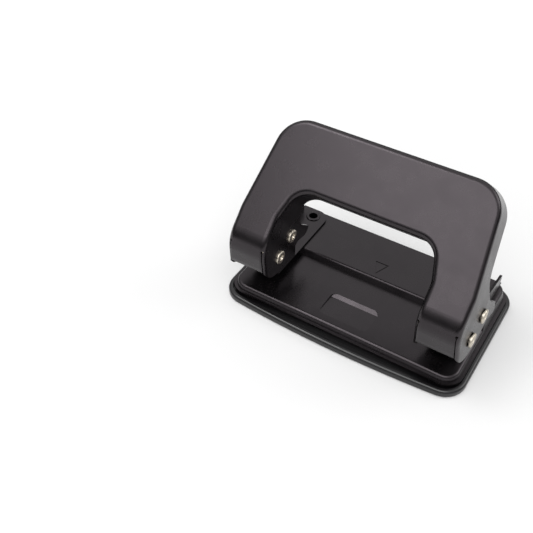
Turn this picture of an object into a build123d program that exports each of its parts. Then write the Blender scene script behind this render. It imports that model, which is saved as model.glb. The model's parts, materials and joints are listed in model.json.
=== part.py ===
"""Two-hole office paper punch: a pressed-steel base and handle, two punch units and a clip-on chip tray.

Frame: millimetres, +X to the right, +Y to the back, +Z up. The origin is under the tray, midway between its
ends and midway along its straight sides.
The handle turns about the two pivot pins. Its drive pins push the punches down through the guide bushes.
"""
from build123d import *
import os
from math import asin, cos, degrees, hypot, pi, radians, sin, tan

os.makedirs("parts", exist_ok=True)

# ---- Driving dimensions (mm and degrees) ----------------------------------------------------------
# Punching
hole_spacing = 80.0  # between the two punched holes
hole_diameter = 5.5
hole_margin = 12.0  # from a hole's centre to the paper stop
slot_height = 2.8  # paper slot, between the front plateau and the bracket floor
stroke = 4.7

# Chip tray, soft moulded plastic
end_margin = 13.0  # from a hole's centre to the tray's end
tray_depth = 64.0  # along its straight sides
tray_bow = 2.6  # how far the front edge bulges past the sides, at the middle
tray_height = 3.3
tray_floor = 1.2
tray_wall = 1.7
tray_corner = 9.5
tray_foot_round = 0.8
tray_rim_round = 1.2
rib = 1.2  # the rib that the plate's flange rests on
tab_length = 12.0
tab_wall = 1.2
tab_height = 3.9  # above the tray's floor

# Base plate, pressed steel
plate_sheet = 1.0
flange_inset = 1.9  # tray's outer face to the edge of the plate's flange
flange_width = 1.0
plateau_height = 6.9  # floor to the top of the front plateau
skirt_lean = 13.5  # of the plate's sides, inwards as they rise
step_y = 0.9  # foot of the step that stops the paper
step_run = 1.6
recess_width = 21.5
recess_y = -11.8
recess_length = 12.6
recess_depth = 0.9
recess_slope_run = 1.7
recess_front_depth = 0.25
recess_corner = 2.6
plate_round = 1.4
mark_y = 4.0  # tip of the centre mark
mark_width = 6.0
mark_length = 7.8
mark_line = 0.45
mark_depth = 0.3

# Brackets, folded steel channels
sheet = 1.0
bracket_half_width = 6.6
bracket_front_y = -17.5  # front edge of the floor
bracket_rear_margin = 1.0  # from the floor's rear edge to the edge of the raised plateau
floor_inner_round = 5.5
channel_bend = 0.9
tail_margin = 2.6  # from the floor's rear edge to the tail
tail_height = 6.3
tail_inset = 2.4
tail_slope = 14.0
cheek_front_y = -26.5
cheek_front_z = 19.5  # above this height the cheek is full width, below it the edge slopes back
cheek_rear_y = -4.6
cheek_top_z = 32.0
cheek_front_round = 6.0
cheek_rear_round = 5.0
rear_hole_margin = 5.0  # from the floor's rear edge to the eyelet's centre
front_rivet_y = 9.0

eyelet_diameter = 5.0
eyelet_bore = 4.0
eyelet_rim = 6.2
eyelet_lip = 0.5
rivet_diameter = 3.5
rivet_head = 6.0
rivet_lip = 1.0

# Pins
pivot_z = 23.2
drive_radius = 10.0  # pivot axis to drive axis
drive_angle = 28.3  # above the horizontal, at rest
pin_diameter = 3.4
pin_head = 5.8
pin_proud = 0.9
pin_cup = 2.6

# Punch, its guide and its spring
collar_diameter = 10.0
collar_thickness = 0.8
head_diameter = 8.0
bush_neck = 7.2
bush_diameter = 7.6
bush_height = 3.0
bush_chamfer = 0.4
spring_wire = 0.7
spring_mean = 8.8
spring_turns = 5.0
punch_seat_z = 22.7  # underside of the punch head
tip_recess = 0.4
tip_notch = 0.9
head_wall = 2.4
head_round = 0.8
clip_groove = 0.6
clip_mouth = 3.6

# Handle, one pressing
flange_play = 1.0  # an arm's inner flange to its bracket
handle_narrowing = 4.6  # of each side of the handle, from the pins to the rear edge
window_narrowing = 3.8  # of each side of the hand opening, likewise
draft = 5.0  # lean of the outer flanges, out towards their open edge
draft_start = 2.0  # height above the top face at which the drafted outline is drawn
apron_lean = 8.0  # the apron runs back as it goes down
taper_start = 14.1  # up the slope from the front bend
handle_slope = 44.9
bend_y, bend_z = -33.35, 35.46  # where the top and the apron would meet
bend_radius = 12.0
handle_length = 53.5  # front bend to rear edge, along the slope
window_length = 27.2
flange_depth = 12.0
arm_flange_start = 22.6  # along the slope, where the flange deepens towards the pins
handle_corner = 12.0
window_corner = 8.0
edge_radius = 2.2
taper_blend = 12.0  # where the taper starts
apron_bottom_z = 22.3
neck_y, neck_z = -6.0, 30.0  # on the rear edge of the arm's flange, above its lobe
lobe_y, lobe_z = 1.2, 20.0
lobe_height = 4.6
lobe_round = 1.8
nose_bottom_z = 15.7
nose_rear_y = -17.4
nose_radius = 10.3
arm_radius = 9.0
seam = 0.35
seam_top_z = 34.0
relief_hole = 1.0

# Clearances
running = 0.05  # radial, turning or sliding fit
fixed = 0.02  # radial, a riveted or pressed seat
air = 0.3  # between parts that only pass each other
slot_play = 0.1  # above and below the drive pin in the punch head

# ---- Worked-out places ------------------------------------------------------------------------------
tray_length = hole_spacing + 2 * end_margin
handle_half_width = hole_spacing / 2 + bracket_half_width + air + sheet
arm_gap_half_width = hole_spacing / 2 - bracket_half_width - flange_play - sheet
handle_rear_half_width = handle_half_width - handle_narrowing
window_half_width = arm_gap_half_width - window_narrowing
flange_z = tray_height + air
raised_z = plateau_height + slot_height
floor_top = raised_z + sheet
punch_y = step_y - hole_margin
pivot_y = punch_y - drive_radius * (1 + cos(radians(drive_angle))) / 2
drive_y = pivot_y + drive_radius * cos(radians(drive_angle))
drive_z = pivot_z + drive_radius * sin(radians(drive_angle))
handle_range = drive_angle - degrees(asin(sin(radians(drive_angle)) - stroke / drive_radius))
flange_length = tray_length - 2 * flange_inset
flange_depth_y = tray_depth - 2 * flange_inset
skirt_half_x = flange_length / 2 - flange_width
skirt_half_y = flange_depth_y / 2 - flange_width
plate_corner = tray_corner - flange_inset - flange_width
raised_rear_y = skirt_half_y - (raised_z - flange_z) * tan(radians(skirt_lean))
bracket_rear_y = raised_rear_y - bracket_rear_margin
tail_rear_y = bracket_rear_y - tail_margin
rear_hole_y = bracket_rear_y - rear_hole_margin
tab_lean = (tray_floor + tab_height - flange_z) * tan(radians(skirt_lean))
tab_in = plate_sheet / cos(radians(skirt_lean)) + tab_lean + air + tab_wall / 2
tip_z = raised_z + tip_recess
spring_top = punch_seat_z - collar_thickness
rivet_x = hole_spacing / 2 - sheet / 2  # middle of the floor between its open edge and the outer cheek
sides = ((-1, "left"), (1, "right"))


def slope_point(along, out):
    """Y and Z of a point given along the handle's slope and out of its top face."""
    a = radians(handle_slope)
    return (bend_y + along * cos(a) - out * sin(a), bend_z + along * sin(a) + out * cos(a))


def slope_depth(y, z):
    """How far a point lies below the plane of the handle's top face."""
    a = radians(handle_slope)
    return (y - bend_y) * sin(a) - (z - bend_z) * cos(a)


def apron_y(z):
    """Y of the apron's front face at a height."""
    return bend_y + (bend_z - z) * tan(radians(apron_lean))


def outer_flange_x(y, z):
    """Distance of an outer flange's outer face from the middle, at the pins."""
    return handle_half_width + slope_depth(y, z) * tan(radians(draft))


slope_normal = (0, -sin(radians(handle_slope)), cos(radians(handle_slope)))
slope_plane = Plane(origin=(0, bend_y, bend_z), x_dir=(1, 0, 0), z_dir=slope_normal)
slope_axis = Axis((0, bend_y, bend_z), slope_normal)


# ---- Chip tray ----------------------------------------------------------------------------------------
def tray_outline(grow):
    """The tray's outline with its bowed front, grown from the wall's outer face."""
    x = tray_length / 2 + grow
    y = tray_depth / 2 + grow
    with BuildSketch() as outline:
        with BuildLine():
            ThreePointArc((-x, -y), (0, -y - tray_bow), (x, -y))
            Polyline((x, -y), (x, y), (-x, y), (-x, -y))
        make_face()
        fillet(outline.vertices(), tray_corner + grow)
    return outline.sketch


with BuildPart() as chip_tray:
    with BuildSketch():
        add(tray_outline(0))
    extrude(amount=tray_height)
    fillet(chip_tray.faces().sort_by(Axis.Z)[0].edges(), tray_foot_round)
    fillet(chip_tray.faces().sort_by(Axis.Z)[-1].edges(), tray_rim_round)
    with BuildSketch(Plane.XY.offset(tray_floor)):
        add(tray_outline(-tray_wall))
    extrude(amount=tray_height, mode=Mode.SUBTRACT)
    with BuildSketch(Plane.XY.offset(tray_floor)):
        RectangleRounded(flange_length - 2 * air, flange_depth_y - 2 * air, tray_corner - flange_inset - air)
        offset(amount=-rib, mode=Mode.SUBTRACT)
    extrude(amount=tray_height - tray_floor)
    tab_x = skirt_half_x - tab_in
    tab_y = skirt_half_y - tab_in
    with BuildSketch(Plane.XY.offset(tray_floor)):
        with Locations((-tab_x, 0), (tab_x, 0)):
            Rectangle(tab_wall, tab_length)
        with Locations((-hole_spacing / 4, tab_y), (hole_spacing / 4, tab_y)):
            Rectangle(tab_length, tab_wall)
        with Locations((-hole_spacing / 4, -tab_y), (hole_spacing / 4, -tab_y)):
            Rectangle(tab_length, tab_wall)
    extrude(amount=tab_height)
chip_tray.part.label = "chip_tray"
export_step(chip_tray.part, "parts/chip_tray.step")


# ---- Base plate -----------------------------------------------------------------------------------------
def recess_form(inset, top):
    """The shallow patch pressed into the front plateau: a short slope at the rear, then a rising floor."""
    front_y = recess_y - recess_length
    with BuildPart() as patch:
        with BuildSketch(Plane.YZ):
            with BuildLine():
                Polyline(
                    (recess_y + inset, top + sheet),
                    (recess_y + inset, top),
                    (recess_y - recess_slope_run + inset, top - recess_depth),
                    (front_y - inset, top - recess_front_depth),
                    (front_y - inset, top + sheet),
                    close=True,
                )
            make_face()
        extrude(amount=recess_width, both=True)
        with BuildSketch(Plane.XY.offset(top - 2 * recess_depth)):
            with Locations((0, recess_y - recess_length / 2)):
                RectangleRounded(recess_width + 2 * inset, recess_length + 2 * inset, recess_corner + inset)
        extrude(amount=4 * recess_depth, mode=Mode.INTERSECT)
    return patch.part


def plate_form(inset):
    """The pressed form of the base plate, without its flange, with every face moved in by inset."""
    top = plateau_height - inset
    raised_top = raised_z - inset
    low = flange_z - inset
    moved = inset * tan(radians(skirt_lean)) - inset / cos(radians(skirt_lean))
    step = step_y + inset
    with BuildPart() as form:
        with BuildSketch(Plane.XY.offset(low)):
            RectangleRounded(2 * (skirt_half_x + moved), 2 * (skirt_half_y + moved), plate_corner + moved)
        extrude(amount=raised_top - low, taper=skirt_lean)
        with BuildSketch(Plane.YZ):
            with BuildLine():
                Polyline(
                    (-tray_depth, top),
                    (step, top),
                    (step + step_run, raised_top),
                    (step + step_run, raised_top + sheet),
                    (-tray_depth, raised_top + sheet),
                    close=True,
                )
            make_face()
        extrude(amount=tray_length, both=True, mode=Mode.SUBTRACT)
        raised_rim = form.faces().sort_by(Axis.Z)[-1].edges()
        plateau_rim = form.edges().filter_by(
            lambda e: abs(e.center().Z - top) < 0.01 and e.center().Y < step - 1
        )
        step_ends = form.edges().filter_by(
            lambda e: top + 1 < e.center().Z < raised_top - 1 and step < e.center().Y < step + step_run
        )
        fillet(raised_rim + plateau_rim + step_ends, plate_round - inset)
        add(recess_form(inset, top), mode=Mode.SUBTRACT)
    return form.part


mark_points = (
    (0, mark_y),
    (mark_width / 2, mark_y + mark_length),
    (-mark_width / 2, mark_y + mark_length),
)
plate_outer = plate_form(0)
plate_inner = plate_form(plate_sheet)

with BuildPart() as base_plate:
    with BuildSketch(Plane.XY.offset(flange_z)):
        RectangleRounded(flange_length, flange_depth_y, tray_corner - flange_inset)
    extrude(amount=plate_sheet)
    add(plate_outer)
    add(plate_inner, mode=Mode.SUBTRACT)
    with BuildSketch(Plane.XY):
        with Locations((-hole_spacing / 2, punch_y), (hole_spacing / 2, punch_y)):
            Circle(hole_diameter / 2 + running)
        with Locations((-rivet_x, rear_hole_y), (rivet_x, rear_hole_y)):
            Circle(eyelet_diameter / 2 + fixed)
        with Locations((-hole_spacing / 2, front_rivet_y), (hole_spacing / 2, front_rivet_y)):
            Circle(rivet_diameter / 2 + fixed)
    extrude(amount=raised_z, mode=Mode.SUBTRACT)
    with BuildSketch(Plane.XY.offset(raised_z)):
        with BuildLine():
            Polyline(*mark_points, close=True)
        make_face()
        offset(amount=-mark_line, kind=Kind.INTERSECTION, mode=Mode.SUBTRACT)
    extrude(amount=-mark_depth, mode=Mode.SUBTRACT)
base_plate.part.label = "base_plate"
export_step(base_plate.part, "parts/base_plate.step")


# ---- Brackets ---------------------------------------------------------------------------------------------
arc_middle = drive_angle - handle_range / 2
drive_arc = CenterArc((pivot_y, pivot_z), drive_radius, arc_middle - handle_range / 2 - 1, handle_range + 2)
tail_front_z = floor_top + tail_height + (tail_rear_y - cheek_rear_y) * tan(radians(tail_slope))


def cheek_points(with_tail):
    """Side view of a bracket cheek as points of Y and Z. The outer cheek runs on into a low tail."""
    body = [(bracket_front_y, raised_z), (bracket_front_y, floor_top), (cheek_front_y, cheek_front_z)]
    body += [(cheek_front_y, cheek_top_z), (cheek_rear_y, cheek_top_z)]
    if with_tail:
        tail_top = floor_top + tail_height
        return body + [(cheek_rear_y, tail_front_z), (tail_rear_y, tail_top), (tail_rear_y, raised_z)]
    return body + [(cheek_rear_y, raised_z)]


def make_bracket(side):
    """A folded channel: floor, two cheeks, the pivot holes and the arc slots of the drive pin."""
    middle = side * hole_spacing / 2
    with BuildPart() as bracket:
        with BuildSketch(Plane.XY.offset(raised_z)):
            with Locations((middle, (bracket_front_y + bracket_rear_y) / 2)):
                floor = Rectangle(2 * bracket_half_width, bracket_rear_y - bracket_front_y)
            rear = floor.vertices().group_by(Axis.Y)[-1].sort_by(Axis.X)
            inner, outer = (rear[-1], rear[0]) if side < 0 else (rear[0], rear[-1])
            fillet(inner, floor_inner_round)
            fillet(outer, tail_inset)
        extrude(amount=sheet)
        for face_x, with_tail in ((bracket_half_width, True), (-bracket_half_width + sheet, False)):
            start = middle + side * face_x
            with BuildSketch(Plane.YZ.offset(start)) as cheek:
                with BuildLine():
                    Polyline(*cheek_points(with_tail), close=True)
                make_face()
                top = cheek.vertices().group_by(Axis.Y)[-1].sort_by(Axis.X)
                fillet(top[0], cheek_front_round)
                fillet(top[-1], cheek_rear_round)
            extrude(amount=-side * sheet)
        with BuildSketch(Plane.YZ.offset(middle)):
            with Locations((pivot_y, pivot_z)):
                Circle(pin_diameter / 2 + running)
            SlotArc(drive_arc, pin_diameter + 2 * air)
        extrude(amount=bracket_half_width + 1, both=True, mode=Mode.SUBTRACT)
        with BuildSketch(Plane.XY.offset(raised_z)):
            with Locations((middle, punch_y)):
                Circle(bush_neck / 2 + fixed)
            with Locations((side * rivet_x, rear_hole_y)):
                Circle(eyelet_diameter / 2 + fixed)
            with Locations((middle, front_rivet_y)):
                Circle(rivet_diameter / 2 + fixed)
        extrude(amount=2 * sheet, mode=Mode.SUBTRACT)
        bends = bracket.edges().filter_by(Axis.Y).filter_by(
            lambda e: abs(e.center().Z - raised_z) < 0.01 and e.length > 10
        )
        corners = bends.filter_by(lambda e: abs(abs(e.center().X - middle) - bracket_half_width) < 0.01)
        fillet(corners, channel_bend)
    return bracket.part


for side, side_name in sides:
    channel = make_bracket(side)
    channel.label = f"{side_name}_bracket"
    export_step(channel, f"parts/{side_name}_bracket.step")


# ---- Handle -----------------------------------------------------------------------------------------------
def outline_points(half_front, half_rear, length):
    """Corners of a slope-plane outline, open to the front: parallel at the pins, then tapered."""
    front = -4 * bend_radius
    right = [(half_front, front), (half_front, taper_start), (half_rear, length)]
    return right + [(-x, y) for x, y in reversed(right)]


def at_taper(vertex):
    """True for the outline's corners where the taper starts."""
    return abs(vertex.Y - taper_start) < 1.5


def front_line(edge):
    """True for the two lines across the arms where the top face runs into its front bend."""
    middle = edge.center()
    a = radians(handle_slope)
    along = (middle.Y - bend_y) * cos(a) + (middle.Z - bend_z) * sin(a)
    return edge.length < 2 * bracket_half_width + 8 and along < bend_radius


def handle_block(inset):
    """The solid that fills the pressing, with its top, sides, apron and window walls moved in by inset."""
    top_front = (bend_y, bend_z)
    past_rear = handle_length + flange_depth
    rear_top = slope_point(past_rear, 0)
    rear_low = slope_point(past_rear, -3 * flange_depth)
    below = -2 * flange_depth
    with BuildPart() as block:
        with BuildSketch(Plane.YZ) as profile:
            with BuildLine():
                front_low = (apron_y(below), below)
                Polyline(front_low, top_front, rear_top, rear_low, (rear_low[0], below), close=True)
            make_face()
            bend = profile.vertices().sort_by(lambda v: abs(v.X - bend_y) + abs(v.Y - bend_z))[0]
            fillet(bend, bend_radius)
            if inset:
                offset(amount=-inset, kind=Kind.INTERSECTION, mode=Mode.REPLACE)
        extrude(amount=handle_half_width + 5, both=True)
        grown = draft_start * tan(radians(draft))
        with BuildSketch(slope_plane.offset(draft_start)) as plan:
            with BuildLine():
                Polyline(
                    *outline_points(
                        handle_half_width - grown, handle_rear_half_width - grown, handle_length - grown
                    ),
                    close=True,
                )
            make_face()
            if inset:
                offset(amount=-inset, kind=Kind.INTERSECTION, mode=Mode.REPLACE)
            fillet(plan.vertices().group_by(Axis.Y)[-1], handle_corner - inset)
            fillet(plan.vertices().filter_by(at_taper), taper_blend)
        extrude(amount=-8 * flange_depth, taper=-draft, mode=Mode.INTERSECT)
        with BuildSketch(slope_plane) as window:
            with BuildLine():
                Polyline(*outline_points(arm_gap_half_width, window_half_width, window_length), close=True)
            make_face()
            if inset:
                offset(amount=inset, kind=Kind.INTERSECTION, mode=Mode.REPLACE)
            fillet(window.vertices().group_by(Axis.Y)[-1], window_corner + inset)
            fillet(window.vertices().filter_by(at_taper), taper_blend)
        extrude(amount=100, both=True, mode=Mode.SUBTRACT)
        top_face = block.faces().filter_by(GeomType.PLANE).sort_by(slope_axis)[-1]
        rim = top_face.edges().filter_by(lambda e: e.length > 3 and not front_line(e))
        fillet(rim, edge_radius - inset)
    return block.part


handle_outer = handle_block(0)
handle_inner = handle_block(sheet)
rear_flange = slope_point(handle_length + 5, -flange_depth)
arm_flange = slope_point(arm_flange_start, -flange_depth)
above_z = rear_flange[1] + 2 * flange_depth
neck = (neck_y, neck_z)
lobe_top = (lobe_y, lobe_z + lobe_height)
lobe_low = (lobe_y, lobe_z)
under_lobe = (neck_y, lobe_z + sheet)
nose_rear = (nose_rear_y, nose_bottom_z)
nose_front = (apron_y(nose_bottom_z), nose_bottom_z)
side_points = [(apron_y(above_z), above_z), (rear_flange[0], above_z), rear_flange, arm_flange]
side_points += [neck, lobe_top, lobe_low, under_lobe, nose_rear, nose_front]
side_rounds = (
    (nose_front, nose_radius),
    (nose_rear, nose_radius),
    (lobe_top, lobe_round),
    (lobe_low, lobe_round),
    (neck, arm_radius),
    (arm_flange, arm_radius),
)


def seam_middle(z, outer):
    """Distance of a seam's centre line from the middle, beside the outer or the inner flange."""
    if outer:
        return outer_flange_x(apron_y(z), z) - sheet - seam / 2
    return arm_gap_half_width + sheet + seam / 2


def seam_points(outer):
    """The slit between the apron and a flange, as points of X and Z."""
    low = seam_middle(apron_bottom_z - sheet, outer)
    high = seam_middle(seam_top_z, outer)
    half = seam / 2
    return [
        (low - half, apron_bottom_z - sheet),
        (high - half, seam_top_z),
        (high + half, seam_top_z),
        (low + half, apron_bottom_z - sheet),
    ]


apron_opening = [
    (seam_middle(apron_bottom_z, False) - seam / 2, apron_bottom_z),
    (seam_middle(apron_bottom_z, True) + seam / 2, apron_bottom_z),
    (seam_middle(nose_bottom_z, True) + seam / 2, nose_bottom_z),
    (seam_middle(nose_bottom_z, True) + seam / 2, 0),
    (seam_middle(apron_bottom_z, False) - seam / 2, 0),
]

with BuildPart() as handle:
    add(handle_outer)
    add(handle_inner, mode=Mode.SUBTRACT)
    with BuildSketch(Plane.YZ) as side_view:
        with BuildLine():
            Polyline(*side_points, close=True)
        make_face()
        for corner, radius in side_rounds:
            nearest = side_view.vertices().sort_by(lambda v: hypot(v.X - corner[0], v.Y - corner[1]))[0]
            fillet(nearest, radius)
    extrude(amount=handle_half_width + flange_depth, both=True, mode=Mode.INTERSECT)
    with BuildSketch(Plane.XZ.offset(1 - bend_y)):
        for side, side_name in sides:
            with BuildLine():
                Polyline(*[(side * x, z) for x, z in apron_opening], close=True)
            make_face()
            for outer in (False, True):
                with BuildLine():
                    Polyline(*[(side * x, z) for x, z in seam_points(outer)], close=True)
                make_face()
                with Locations((side * seam_middle(seam_top_z, outer), seam_top_z)):
                    Circle(relief_hole / 2)
    extrude(amount=-(bend_z - apron_bottom_z) * tan(radians(apron_lean)) - 3 * sheet, mode=Mode.SUBTRACT)
    with BuildSketch(Plane.YZ):
        with Locations((pivot_y, pivot_z), (drive_y, drive_z)):
            Circle(pin_diameter / 2 + fixed)
    extrude(amount=handle_half_width + 5, both=True, mode=Mode.SUBTRACT)
handle.part.label = "handle"
export_step(handle.part, "parts/handle.step")


# ---- Pivot pins and drive pins ------------------------------------------------------------------------
def make_pin(side, y, z):
    """A semi-tubular rivet through both flanges of an arm, with a low cupped head at each end."""
    seat = outer_flange_x(y, z) + pin_head / 2 * tan(radians(draft)) + fixed
    pin_length = seat - arm_gap_half_width + 2 * pin_proud
    middle = side * (seat + arm_gap_half_width) / 2
    with BuildPart() as pin:
        with BuildSketch(Plane.YZ.offset(middle)):
            with Locations((y, z)):
                Circle(pin_diameter / 2)
        extrude(amount=pin_length / 2, both=True)
        for end in (-1, 1):
            with BuildSketch(Plane.YZ.offset(middle + end * (pin_length / 2 - pin_proud))):
                with Locations((y, z)):
                    Circle(pin_head / 2)
            extrude(amount=end * pin_proud)
        ends = pin.faces().sort_by(Axis.X)
        fillet(ends[0].edges() + ends[-1].edges(), pin_proud * 0.7)
        for end in (-1, 1):
            with BuildSketch(Plane.YZ.offset(middle + end * pin_length / 2)):
                with Locations((y, z)):
                    Circle(pin_cup / 2)
            extrude(amount=-end * pin_proud, mode=Mode.SUBTRACT, taper=20)
    return pin.part


for side, side_name in sides:
    for pin_name, y, z in (("pivot_pin", pivot_y, pivot_z), ("drive_pin", drive_y, drive_z)):
        rivet_pin = make_pin(side, y, z)
        rivet_pin.label = f"{side_name}_{pin_name}"
        export_step(rivet_pin, f"parts/{side_name}_{pin_name}.step")


# ---- Punches, guide bushes, spring clips and return springs ---------------------------------------------
head_top_z = drive_z + pin_diameter / 2 + head_wall
pin_travel = drive_radius * (1 - cos(radians(drive_angle)))


def make_punch(side):
    """A round cutting rod, slotted across its head for the drive pin and grooved for its clip."""
    middle = side * hole_spacing / 2
    with BuildPart() as punch:
        with BuildSketch(Plane.XY.offset(tip_z)):
            with Locations((middle, punch_y)):
                Circle(hole_diameter / 2)
        extrude(amount=punch_seat_z - tip_z)
        with BuildSketch(Plane.XY.offset(punch_seat_z)):
            with Locations((middle, punch_y)):
                Circle(head_diameter / 2)
        extrude(amount=head_top_z - punch_seat_z)
        fillet(punch.faces().sort_by(Axis.Z)[-1].edges(), head_round)
        with BuildSketch(Plane.XY.offset(spring_top)):
            with Locations((middle, punch_y)):
                Circle(hole_diameter)
                Circle(hole_diameter / 2 - clip_groove, mode=Mode.SUBTRACT)
        extrude(amount=collar_thickness, mode=Mode.SUBTRACT)
        with BuildSketch(Plane.YZ.offset(middle)):
            with Locations((drive_y + pin_travel / 2, drive_z)):
                SlotOverall(pin_diameter + pin_travel + 2 * air, pin_diameter + 2 * slot_play)
        extrude(amount=head_diameter, both=True, mode=Mode.SUBTRACT)
        with BuildSketch(Plane.YZ.offset(middle)):
            with BuildLine():
                Polyline(
                    (punch_y - hole_diameter / 2 - 1, tip_z - 1),
                    (punch_y, tip_z + tip_notch),
                    (punch_y + hole_diameter / 2 + 1, tip_z - 1),
                    close=True,
                )
            make_face()
        extrude(amount=hole_diameter, both=True, mode=Mode.SUBTRACT)
    return punch.part


def make_bush(side):
    """The flanged guide bush that the punch slides in, pressed into the bracket floor."""
    middle = side * hole_spacing / 2
    with BuildPart() as bush:
        with BuildSketch(Plane.XY.offset(raised_z)):
            with Locations((middle, punch_y)):
                Circle(bush_neck / 2)
        extrude(amount=sheet)
        with BuildSketch(Plane.XY.offset(floor_top)):
            with Locations((middle, punch_y)):
                Circle(bush_diameter / 2)
        extrude(amount=bush_height)
        chamfer(bush.faces().sort_by(Axis.Z)[-1].edges(), bush_chamfer)
        with BuildSketch(Plane.XY.offset(raised_z)):
            with Locations((middle, punch_y)):
                Circle(hole_diameter / 2 + running)
        extrude(amount=sheet + bush_height, mode=Mode.SUBTRACT)
    return bush.part


def make_clip(side):
    """The open retaining ring in the punch's groove, which the return spring pushes on."""
    middle = side * hole_spacing / 2
    with BuildPart() as clip:
        with BuildSketch(Plane.XY.offset(spring_top)):
            with Locations((middle, punch_y)):
                Circle(collar_diameter / 2)
                Circle(hole_diameter / 2 - clip_groove + fixed, mode=Mode.SUBTRACT)
            with Locations((middle, punch_y + collar_diameter / 2)):
                Rectangle(clip_mouth, collar_diameter, mode=Mode.SUBTRACT)
        extrude(amount=collar_thickness)
    return clip.part


def make_spring(side):
    """The return spring round the punch, from the bracket floor up to the clip."""
    middle = side * hole_spacing / 2
    rise = spring_top - floor_top - spring_wire
    with BuildPart() as spring:
        with BuildLine():
            Helix(
                pitch=rise / spring_turns,
                height=rise,
                radius=spring_mean / 2,
                center=(middle, punch_y, floor_top + spring_wire / 2),
            )
        with BuildSketch(
            Plane(
                origin=(middle + spring_mean / 2, punch_y, floor_top + spring_wire / 2),
                z_dir=(0, 1, rise / spring_turns / (spring_mean * pi)),
            )
        ):
            Circle(spring_wire / 2)
        sweep(is_frenet=True)
    return spring.part


for side, side_name in sides:
    pieces = (
        ("punch", make_punch(side)),
        ("guide_bush", make_bush(side)),
        ("spring_clip", make_clip(side)),
        ("return_spring", make_spring(side)),
    )
    for piece_name, piece in pieces:
        piece.label = f"{side_name}_{piece_name}"
        export_step(piece, f"parts/{side_name}_{piece_name}.step")


# ---- Fasteners that hold the brackets down ----------------------------------------------------------------
under_plate = raised_z - plate_sheet


def make_fastener(x, y, shank, bore, rim, lip):
    """A rivet through the bracket floor and the raised plateau. With a bore it is a hollow eyelet."""
    with BuildPart() as fastener:
        with BuildSketch(Plane.XY.offset(under_plate)):
            with Locations((x, y)):
                Circle(shank / 2)
        extrude(amount=floor_top - under_plate)
        for start, height in ((floor_top, lip), (under_plate, -lip)):
            with BuildSketch(Plane.XY.offset(start)):
                with Locations((x, y)):
                    Circle(rim / 2)
            extrude(amount=height)
        ends = fastener.faces().sort_by(Axis.Z)
        fillet(ends[0].edges() + ends[-1].edges(), 0.7 * lip)
        if bore:
            with BuildSketch(Plane.XY.offset(under_plate - lip)):
                with Locations((x, y)):
                    Circle(bore / 2)
            extrude(amount=floor_top - under_plate + 2 * lip, mode=Mode.SUBTRACT)
    return fastener.part


for side, side_name in sides:
    eyelet = make_fastener(side * rivet_x, rear_hole_y, eyelet_diameter, eyelet_bore, eyelet_rim, eyelet_lip)
    rivet = make_fastener(side * hole_spacing / 2, front_rivet_y, rivet_diameter, 0, rivet_head, rivet_lip)
    for piece_name, piece in (("rear_eyelet", eyelet), ("front_rivet", rivet)):
        piece.label = f"{side_name}_{piece_name}"
        export_step(piece, f"parts/{side_name}_{piece_name}.step")
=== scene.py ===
# %% [markdown]
# # A two-hole desk punch
#
# The punch is pressed from black enamelled sheet steel and stands on a soft plastic tray that catches the
# paper chips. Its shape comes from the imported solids, one for each real piece. This lesson gives every piece
# the finish of the real thing, adds the small details that a solid leaves out, and sets up camera and light.

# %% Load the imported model
import json
from math import cos, pi, radians, sin

import bpy
from mathutils import Matrix, Vector


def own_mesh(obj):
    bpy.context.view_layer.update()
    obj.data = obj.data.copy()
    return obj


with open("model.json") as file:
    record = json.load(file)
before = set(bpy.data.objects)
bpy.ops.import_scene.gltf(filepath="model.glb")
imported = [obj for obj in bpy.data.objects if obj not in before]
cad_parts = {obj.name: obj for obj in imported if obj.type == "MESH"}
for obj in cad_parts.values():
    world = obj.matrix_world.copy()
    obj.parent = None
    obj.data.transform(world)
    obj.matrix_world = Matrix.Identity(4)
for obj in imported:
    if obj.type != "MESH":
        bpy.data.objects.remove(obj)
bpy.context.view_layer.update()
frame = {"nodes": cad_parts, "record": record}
nodes = frame["nodes"]
MM = 0.001

# %% [markdown]
# ## Camera
#
# The punch is seen from above its right front corner, close enough that its lines converge. A camera could be
# turned by angles, but here three directions are known better: where it looks, which way is up, and where it
# stands. They give its rotation directly, as the three columns of a matrix.

# %% Camera
camera_place = Vector((83.62, -212.24, 234.06)) * MM
look_at_way = Vector((-0.38384, 0.60829, -0.69473)).normalized()
roll = radians(0.12)
picture_width = 533  # pixels
pixels_per_slope = 766.12  # how far a ray lands from the picture's middle, for a slope of 1
off_side, off_up = 0.7, 0.3  # pixels from the picture's middle to the point that is looked at

side_way = look_at_way.cross(Vector((0, 0, 1))).normalized()
up_way = side_way.cross(look_at_way)
side_way, up_way = cos(roll) * side_way + sin(roll) * up_way, cos(roll) * up_way - sin(roll) * side_way
look_at_way -= side_way * (off_side / pixels_per_slope) + up_way * (off_up / pixels_per_slope)
look_at_way.normalize()
side_way = look_at_way.cross(up_way).normalized()
up_way = side_way.cross(look_at_way)

lens = bpy.data.cameras.new("table_camera")
lens.sensor_width = 36
lens.lens = pixels_per_slope / picture_width * lens.sensor_width
lens.clip_start, lens.clip_end = 0.01, 20
camera = bpy.data.objects.new("table_camera", lens)
bpy.context.scene.collection.objects.link(camera)
turn = Matrix((side_way, up_way, -look_at_way)).transposed().to_4x4()
camera.matrix_world = Matrix.Translation(camera_place) @ turn
bpy.context.scene.camera = camera
print("lens", round(lens.lens, 2), "mm")

# %% [markdown]
# ## Nodes and colours
#
# A procedural material is a small graph. One function adds any node with its settings and its inputs, where an
# input is a number, a colour or another node's output. Colours are picked as sRGB hex values, which is how a
# colour looks on a screen, and a shader wants them as linear light.

# %% One function that adds a node, and one that reads a colour
def linear(hex_colour):
    """sRGB hex to linear red, green, blue and alpha."""
    values = [int(hex_colour[i:i + 2], 16) / 255 for i in (1, 3, 5)]
    return tuple(v / 12.92 if v <= 0.04045 else ((v + 0.055) / 1.055) ** 2.4 for v in values) + (1.0,)


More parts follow.
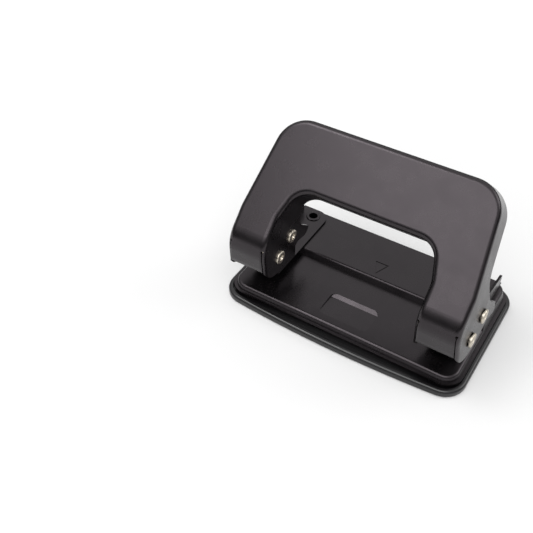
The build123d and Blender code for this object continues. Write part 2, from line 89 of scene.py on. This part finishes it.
def add(material, kind, inputs=None, **settings):
    """Adds a shader node, sets it up, and feeds its inputs with values or with other nodes' outputs."""
    tree = material.node_tree
    made = tree.nodes.new("ShaderNode" + kind)
    for name, value in settings.items():
        setattr(made, name, value)
    for socket, value in (inputs or {}).items():
        if isinstance(value, bpy.types.NodeSocket):
            tree.links.new(value, made.inputs[socket])
        else:
            made.inputs[socket].default_value = value
    return made


def new_material(name):
    """An empty material with an output node."""
    material = bpy.data.materials.new(name)
    material.use_nodes = True
    material.node_tree.nodes.clear()
    add(material, "OutputMaterial")
    return material


def finish_material(material, shader, bump=None):
    """Joins the shader to the material's output."""
    out = next(n for n in material.node_tree.nodes if n.type == "OUTPUT_MATERIAL")
    if bump:
        material.node_tree.links.new(bump.outputs["Normal"], shader.inputs["Normal"])
    material.node_tree.links.new(shader.outputs[0], out.inputs["Surface"])
    return material


print("white is", linear("#ffffff")[:3])

# %% [markdown]
# ## Table and light
#
# Black enamel hardly has a colour of its own. What the eye sees is the room in it, so the light is what shapes
# it: a white table below, a pale ceiling, and a dark band at the horizon, which draws the dark line along
# every front bend. A big soft lamp hangs in front, a little to the right, where the sloping top mirrors it.
# A weaker one stands behind on the right, and a small bright one up on the left draws the light lines along
# rounded edges that face upwards.
#
# For the camera and for reflections the table gets a little light of its own, so that it reads as white and
# still holds a soft shadow. That light is weak near the punch, which paints a shade round it that the enamel
# also mirrors, and grows with the distance from the punch, until the table's edge is as white as the room behind
# it.

# %% Floor and world
floor_white = new_material("matt_white_table")
paths = add(floor_white, "LightPath")
seen = add(floor_white, "Math", {
    0: paths.outputs["Is Camera Ray"], 1: paths.outputs["Is Glossy Ray"],
}, operation="MAXIMUM")
seen = add(floor_white, "Math", {
    0: seen.outputs[0], 1: paths.outputs["Is Transmission Ray"],
}, operation="MAXIMUM")
floor_place = add(floor_white, "TexCoord").outputs["Object"]
away = add(floor_white, "VectorMath", {0: floor_place}, operation="LENGTH")
# Painted shade: the table's own light is weaker within 0.34 m of the punch and weakest inside 0.10 m.
level = add(floor_white, "MapRange", {
    "Value": away.outputs["Value"], "From Min": 0.10, "From Max": 0.34, "To Min": 0.18, "To Max": 1.0,
}, interpolation_type="SMOOTHSTEP")
lift = add(floor_white, "Math", {0: seen.outputs[0], 1: level.outputs["Result"]}, operation="MULTIPLY")
matt = add(floor_white, "BsdfDiffuse", {"Color": linear("#c0c0c0")})
glow = add(floor_white, "Emission", {"Color": (1, 1, 1, 1), "Strength": lift.outputs[0]})
finish_material(floor_white, add(floor_white, "AddShader", {0: matt.outputs[0], 1: glow.outputs[0]}))

table_drop = 0.2 * MM  # so that table and tray don't share a plane
bpy.ops.mesh.primitive_plane_add(size=0.9, location=(0, 0, -table_drop))
table = bpy.context.object
table.name = "table"
table.data.materials.append(floor_white)

world = bpy.data.worlds.new("pale_dome")
bpy.context.scene.world = world
world.use_nodes = True
sky = world.node_tree
sky.nodes.clear()
sky_paths = add(world, "LightPath")
height = add(world, "SeparateXYZ", {0: add(world, "TexCoord").outputs["Generated"]}).outputs["Z"]
ceiling = add(world, "MapRange", {
    "Value": height, "From Min": 0.15, "From Max": 0.65, "To Min": 0.06, "To Max": 1.02,
}, interpolation_type="SMOOTHSTEP")
sky_level = add(world, "MapRange", {
    "Value": sky_paths.outputs["Is Camera Ray"], "To Min": ceiling.outputs["Result"], "To Max": 1.0,
})
dome = add(world, "Background", {"Color": (1, 1, 1, 1), "Strength": sky_level.outputs[0]})
sky.links.new(dome.outputs[0], add(world, "OutputWorld").inputs["Surface"])
bpy.context.scene.view_settings.view_transform = "Standard"


# %% Lamps
def soft_box(name, place, aim, width, height, level):
    """A rectangular lamp, aimed at a point. level is its brightness as a white surface shows it."""
    light = bpy.data.lights.new(name, "AREA")
    light.shape = "RECTANGLE"
    light.size, light.size_y = width, height
    light.energy = level * pi * width * height
    lamp = bpy.data.objects.new(name, light)
    bpy.context.scene.collection.objects.link(lamp)
    lamp.location = place
    lamp.rotation_euler = (Vector(aim) - Vector(place)).to_track_quat("-Z", "Y").to_euler()
    return lamp


soft_box("key_lamp", (0.05, -0.44, 0.74), (0, 0, 0.04), 0.90, 0.60, 2.8)
soft_box("side_lamp", (0.50, 0.40, 0.45), (0.12, 0.10, 0), 0.4, 0.4, 2.6)
soft_box("edge_lamp", (-0.36, -0.14, 0.78), (0, 0, 0.01), 0.30, 0.34, 6.0)

# %% [markdown]
# ## Stoved enamel
#
# Handle, base and brackets are mild steel, dipped or sprayed with black enamel and baked in an oven. The film is
# smooth but not a mirror: it has a slight orange peel, about 0.8 mm from hill to hill, and skin oil and dust
# leave duller patches some 10 mm wide. Its IOR is just under 1.5. The black isn't pure, it is a warm dark grey,
# and what it mirrors takes on a trace of purple.

# %% Black stoved enamel
def stoved_enamel():
    """Baked black paint with orange peel and handling marks."""
    paint = new_material("stoved_enamel_black")
    place = add(paint, "TexCoord").outputs["Object"]
    smudge = add(paint, "TexNoise", {"Vector": place, "Scale": 1 / (10 * MM), "Detail": 3.0, "Roughness": 0.6})
    sheen_patch = add(paint, "MapRange", {
        "Value": smudge.outputs["Fac"], "From Min": 0.35, "From Max": 0.65, "To Min": 0.25, "To Max": 0.33,
    })
    tint = add(paint, "Mix", {
        "Factor": smudge.outputs["Fac"], "A": linear("#060506"), "B": linear("#0b0a0b"),
    }, data_type="RGBA")
    peel = add(paint, "TexNoise", {"Vector": place, "Scale": 1 / (0.8 * MM), "Detail": 2.0, "Roughness": 0.5})
    hills = add(paint, "Bump", {"Height": peel.outputs["Fac"], "Strength": 0.10, "Distance": 0.1 * MM})
    shader = add(paint, "BsdfPrincipled", {
        "Base Color": tint.outputs["Result"], "Roughness": sheen_patch.outputs["Result"], "IOR": 1.48,
        "Specular Tint": linear("#fff2fa"),
    })
    return finish_material(paint, shader, hills)


enamel = stoved_enamel()
print("made", enamel.name)

# %% [markdown]
# ## Moulded polyethylene
#
# The chip tray is injection moulded in soft black polyethylene, so that its rim can stretch over the plate. It is
# duller than the paint, its surface has the fine grain of a spark-eroded mould, and its IOR is 1.51.

# %% Black moulded polyethylene
def moulded_polyethylene():
    """Soft black plastic with a fine mould grain, 0.35 mm apart."""
    plastic = new_material("moulded_polyethylene_black")
    place = add(plastic, "TexCoord").outputs["Object"]
    grain = add(plastic, "TexNoise", {"Vector": place, "Scale": 1 / (0.35 * MM), "Detail": 2.0})
    cloud = add(plastic, "TexNoise", {"Vector": place, "Scale": 1 / (14 * MM), "Detail": 2.0})
    rough = add(plastic, "MapRange", {"Value": cloud.outputs["Fac"], "To Min": 0.22, "To Max": 0.34})
    tint = add(plastic, "Mix", {
        "Factor": cloud.outputs["Fac"], "A": linear("#080709"), "B": linear("#0e0d0f"),
    }, data_type="RGBA")
    pits = add(plastic, "Bump", {"Height": grain.outputs["Fac"], "Strength": 0.18, "Distance": 0.05 * MM})
    shader = add(plastic, "BsdfPrincipled", {
        "Base Color": tint.outputs["Result"], "Roughness": rough.outputs["Result"], "IOR": 1.51,
    })
    return finish_material(plastic, shader, pits)


tray_plastic = moulded_polyethylene()
print("made", tray_plastic.name)

# %% [markdown]
# ## Nickel-plated and bare steel
#
# The four pins are nickel plated: a warm, bright metal with tiny marks from the rivet tool. Punches and bushes
# are hardened and ground round, which leaves fine rings, and the springs are drawn wire, a little darker.

# %% The three metals
def plated_nickel():
    """Bright nickel with faint tool marks."""
    metal = new_material("nickel_plate")
    place = add(metal, "TexCoord").outputs["Object"]
    marks = add(metal, "TexNoise", {"Vector": place, "Scale": 1 / (2 * MM), "Detail": 2.0})
    rough = add(metal, "MapRange", {"Value": marks.outputs["Fac"], "To Min": 0.34, "To Max": 0.40})
    dents = add(metal, "Bump", {"Height": marks.outputs["Fac"], "Strength": 0.06, "Distance": 0.05 * MM})
    shader = add(metal, "BsdfPrincipled", {
        "Base Color": linear("#c8c0b2"), "Metallic": 1.0, "Roughness": rough.outputs["Result"],
    })
    return finish_material(metal, shader, dents)


def ground_steel(name, colour, ring_mm, low, high):
    """Round ground or drawn steel: fine rings round an upright part, ring_mm apart."""
    metal = new_material(name)
    place = add(metal, "TexCoord").outputs["Object"]
    stretch = add(metal, "Mapping", {"Vector": place, "Scale": (0.02, 0.02, 1.0)})
    rings = add(metal, "TexNoise", {"Vector": stretch.outputs[0], "Scale": 1 / (ring_mm * MM), "Detail": 3.0})
    rough = add(metal, "MapRange", {"Value": rings.outputs["Fac"], "To Min": low, "To Max": high})
    lines = add(metal, "Bump", {"Height": rings.outputs["Fac"], "Strength": 0.2, "Distance": 0.02 * MM})
    shader = add(metal, "BsdfPrincipled", {
        "Base Color": linear(colour), "Metallic": 1.0, "Roughness": rough.outputs["Result"],
    })
    return finish_material(metal, shader, lines)


nickel = plated_nickel()
punch_steel = ground_steel("hardened_ground_steel", "#a9a8a6", 0.3, 0.2, 0.38)
spring_steel = ground_steel("drawn_spring_steel", "#8f8c86", 0.15, 0.25, 0.42)
print("made", nickel.name, punch_steel.name, spring_steel.name)

# %% [markdown]
# ## Dress the solids
#
# Each solid keeps its shape and takes the material of its record slot.

# %% Give each solid its finish
finish_of_slot = {
    "enamel": enamel,
    "tray_plastic": tray_plastic,
    "nickel": nickel,
    "tool_steel": punch_steel,
    "spring_steel": spring_steel,
}
for part in frame["record"]["subparts"]:
    solid = nodes[part["node"]]
    solid.data.materials.clear()
    solid.data.materials.append(finish_of_slot[part["material_slot"]])

# %% [markdown]
# ## Return springs
#
# A return spring stands on the bracket floor and holds up the clip of its punch. When the handle goes down, the
# clip comes down by the punch's travel, and the spring keeps the rest of its height. Here each spring only gets a
# mesh of its own.

# %% Give each return spring a mesh of its own
for side in ("left", "right"):
    spring = nodes[f"{side}_return_spring"]
    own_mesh(spring)
